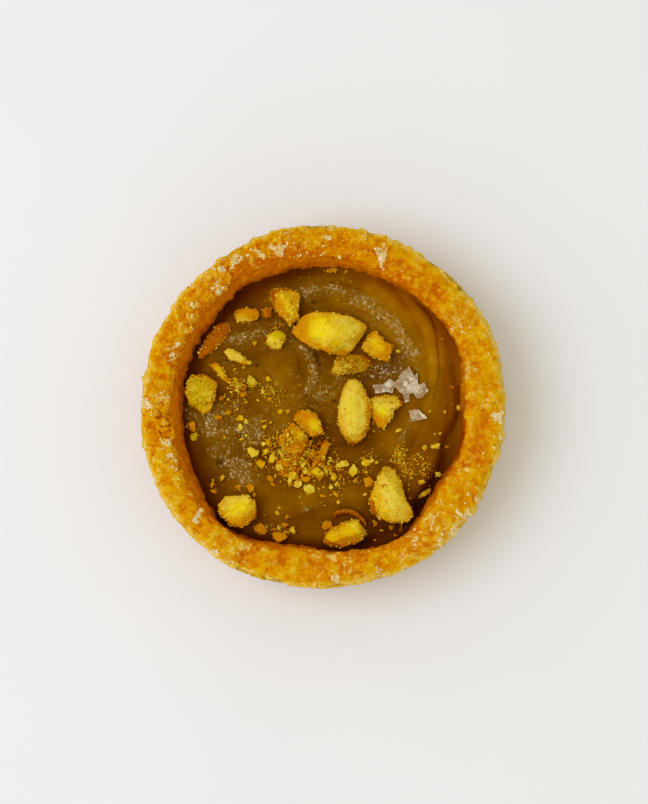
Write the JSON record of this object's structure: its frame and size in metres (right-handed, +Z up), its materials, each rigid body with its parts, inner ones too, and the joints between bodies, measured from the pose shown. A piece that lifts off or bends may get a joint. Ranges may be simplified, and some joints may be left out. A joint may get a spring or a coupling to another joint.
{
  "type": "brigadeiro tartlet",
  "caption": "Round shortcrust tartlet with a thick crumbly rim, swirled olive-brown cream filling, chopped pistachios, nut crumbs and salt flakes on top.",
  "frame": {"origin": "middle of the flat underside, on the surface the tartlet stands on", "axes": "+Z up out of the filling; +X to the right and +Y away from the viewer as the picture shows it"},
  "size_m": [0.0723, 0.0719, 0.0201],
  "materials": {
    "crust": "baked shortcrust pastry: matt, granular, golden with paler crumbs",
    "cream": "set pistachio cream: smooth, satin, olive brown",
    "nut_yellow": "chopped roasted pistachio: dry, powdery, yellow",
    "nut_green": "chopped pistachio: dry, rough, green-yellow",
    "nut_toasted": "chopped pistachio with browned skin: dry, rough, orange-yellow",
    "nut_olive": "crumbly pistachio piece under a larger one: dull, olive",
    "nut_skin": "pistachio skin: papery, orange-brown",
    "salt": "sea salt flake: milky, translucent, crystalline"
  },
  "bodies": {
    "root": {"crust": "crust", "cream_filling": "cream", "pistachio_crumbly_piece": "nut_olive", "pistachio_half_kernel": "nut_yellow", "pistachio_cube": "nut_toasted", "pistachio_long_kernel": "nut_yellow", "pistachio_wedge": "nut_yellow", "pistachio_shield": "nut_toasted", "pistachio_green_oval": "nut_green", "pistachio_small_block": "nut_toasted", "pistachio_skin_piece": "nut_skin", "pistachio_pale_sliver": "nut_yellow", "pistachio_orange_sliver": "nut_skin", "pistachio_rough_block": "nut_green", "pistachio_browned_chunk": "nut_toasted", "pistachio_folded_slab": "nut_toasted", "pistachio_round_end": "nut_yellow", "pistachio_oval": "nut_yellow", "pistachio_pear": "nut_yellow", "salt_flake": "salt"}
  },
  "joints": []
}
